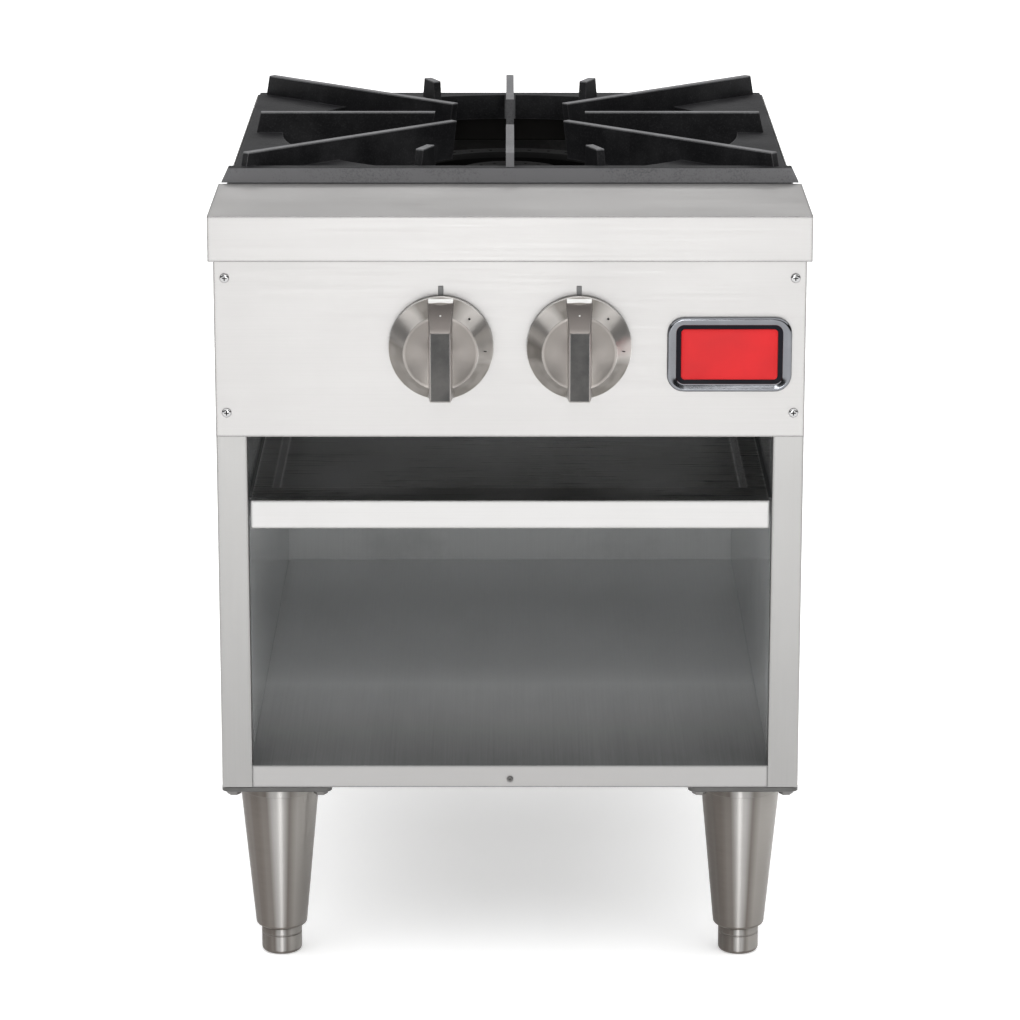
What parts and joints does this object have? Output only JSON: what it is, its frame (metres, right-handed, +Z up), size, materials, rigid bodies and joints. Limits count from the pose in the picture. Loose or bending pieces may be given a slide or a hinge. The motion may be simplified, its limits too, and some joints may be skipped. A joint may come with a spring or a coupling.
{
  "type": "stock pot range",
  "caption": "Free-standing gas stock pot range: cast-iron grate over ring burners, control knobs, pull-out crumb tray, open storage cabinet and tapered adjustable legs.",
  "frame": {"origin": "on the floor, under the middle of the whole object from the knobs to the gas inlet", "axes": "+X to the right seen from the front, +Y to the back, +Z up"},
  "size_m": [0.4572, 0.679, 0.629],
  "materials": {
    "stainless": "brushed stainless sheet, grain along the length of each face",
    "inner_steel": "plain steel sheet with a dull, faintly streaked surface",
    "cast_iron": "sand-cast iron with a matt black coat, greyer on its top edges",
    "black_pipe": "black iron gas pipe with a satin skin",
    "brass": "machined brass",
    "aluminium_tube": "drawn aluminium tube",
    "knob_steel": "brushed stainless, spun on the cone and straight on the bar",
    "knob_bar": "brushed dark stainless bar",
    "leg_steel": "spun stainless with rings round the leg",
    "screw_steel": "bright plated screws",
    "badge_rim": "bright bezel with a dark line inside",
    "badge_colour": "plain red domed enamel",
    "mark_grey": "grey index mark"
  },
  "bodies": {
    "cabinet": {"left_side_panel": "stainless", "right_side_panel": "stainless", "left_side_liner": "inner_steel", "right_side_liner": "inner_steel", "left_top_rail": "inner_steel", "right_top_rail": "inner_steel", "left_tray_rail": "inner_steel", "right_tray_rail": "inner_steel", "left_gas_valve": "brass", "right_gas_valve": "brass", "left_orifice_hood": "brass", "right_orifice_hood": "brass", "base_panel": "stainless", "front_leg_channel": "inner_steel", "rear_leg_channel": "inner_steel", "back_panel": "stainless", "top_cap": "stainless", "control_panel": "stainless", "valve_baffle": "inner_steel", "rear_deck": "inner_steel", "index_marks": "mark_grey", "badge_bezel": "badge_rim", "badge_plate": "badge_colour", "panel_screws": "screw_steel", "base_screw": "screw_steel", "gas_manifold": "black_pipe", "manifold_cap": "black_pipe", "manifold_elbow": "black_pipe", "supply_pipe": "black_pipe", "inlet_coupling": "black_pipe", "gas_inlet": "black_pipe", "pilot_valve": "brass", "pilot_tube": "aluminium_tube", "pilot_tip": "inner_steel", "outer_burner": "cast_iron", "inner_burner": "cast_iron", "front_burner_support": "inner_steel", "rear_burner_support": "inner_steel", "front_left_leg": "leg_steel", "front_right_leg": "leg_steel", "back_left_leg": "leg_steel", "back_right_leg": "leg_steel", "leg_bolts": "screw_steel"},
    "left_knob_and_stem": {"left_knob": "knob_steel", "left_knob_grip": "knob_bar", "left_valve_stem": "brass"},
    "right_knob_and_stem": {"right_knob": "knob_steel", "right_knob_grip": "knob_bar", "right_valve_stem": "brass"},
    "sliding_tray": {"crumb_tray": "stainless", "crumb_tray_front": "stainless"},
    "lift_off_grate": {"top_grate": "cast_iron"},
    "front_left_screw_foot": {"front_left_foot": "leg_steel"},
    "front_right_screw_foot": {"front_right_foot": "leg_steel"},
    "back_left_screw_foot": {"back_left_foot": "leg_steel"},
    "back_right_screw_foot": {"back_right_foot": "leg_steel"},
    "left_shutter": {"left_air_shutter": "inner_steel"},
    "right_shutter": {"right_air_shutter": "inner_steel"}
  },
  "joints": [
    {"name": "left_knob_turn", "type": "hinge", "parent": "cabinet", "child": "left_knob_and_stem", "pos_m": [-0.0525, -0.297, 0.504], "axis": [0, -1, 0], "range_deg": [0, 90]},
    {"name": "right_knob_turn", "type": "hinge", "parent": "cabinet", "child": "right_knob_and_stem", "pos_m": [0.0525, -0.297, 0.504], "axis": [0, -1, 0], "range_deg": [0, 90]},
    {"name": "tray_slide", "type": "slide", "parent": "cabinet", "child": "sliding_tray", "axis": [0, -1, 0], "range_m": [0, 0.4]},
    {"name": "grate_lift", "type": "slide", "parent": "cabinet", "child": "lift_off_grate", "axis": [0, 0, 1], "range_m": [0, 0.2]},
    {"name": "front_left_foot_adjust", "type": "slide", "parent": "cabinet", "child": "front_left_screw_foot", "axis": [0, 0, -1], "range_m": [0, 0.02]},
    {"name": "front_right_foot_adjust", "type": "slide", "parent": "cabinet", "child": "front_right_screw_foot", "axis": [0, 0, -1], "range_m": [0, 0.02]},
    {"name": "back_left_foot_adjust", "type": "slide", "parent": "cabinet", "child": "back_left_screw_foot", "axis": [0, 0, -1], "range_m": [0, 0.02]},
    {"name": "back_right_foot_adjust", "type": "slide", "parent": "cabinet", "child": "back_right_screw_foot", "axis": [0, 0, -1], "range_m": [0, 0.02]},
    {"name": "left_shutter_turn", "type": "hinge", "parent": "cabinet", "child": "left_shutter", "pos_m": [-0.0525, -0.2023, 0.504], "axis": [0, 1, 0], "range_deg": [0, 45]},
    {"name": "right_shutter_turn", "type": "hinge", "parent": "cabinet", "child": "right_shutter", "pos_m": [0.0525, -0.2023, 0.504], "axis": [0, 1, 0], "range_deg": [0, 45]}
  ]
}
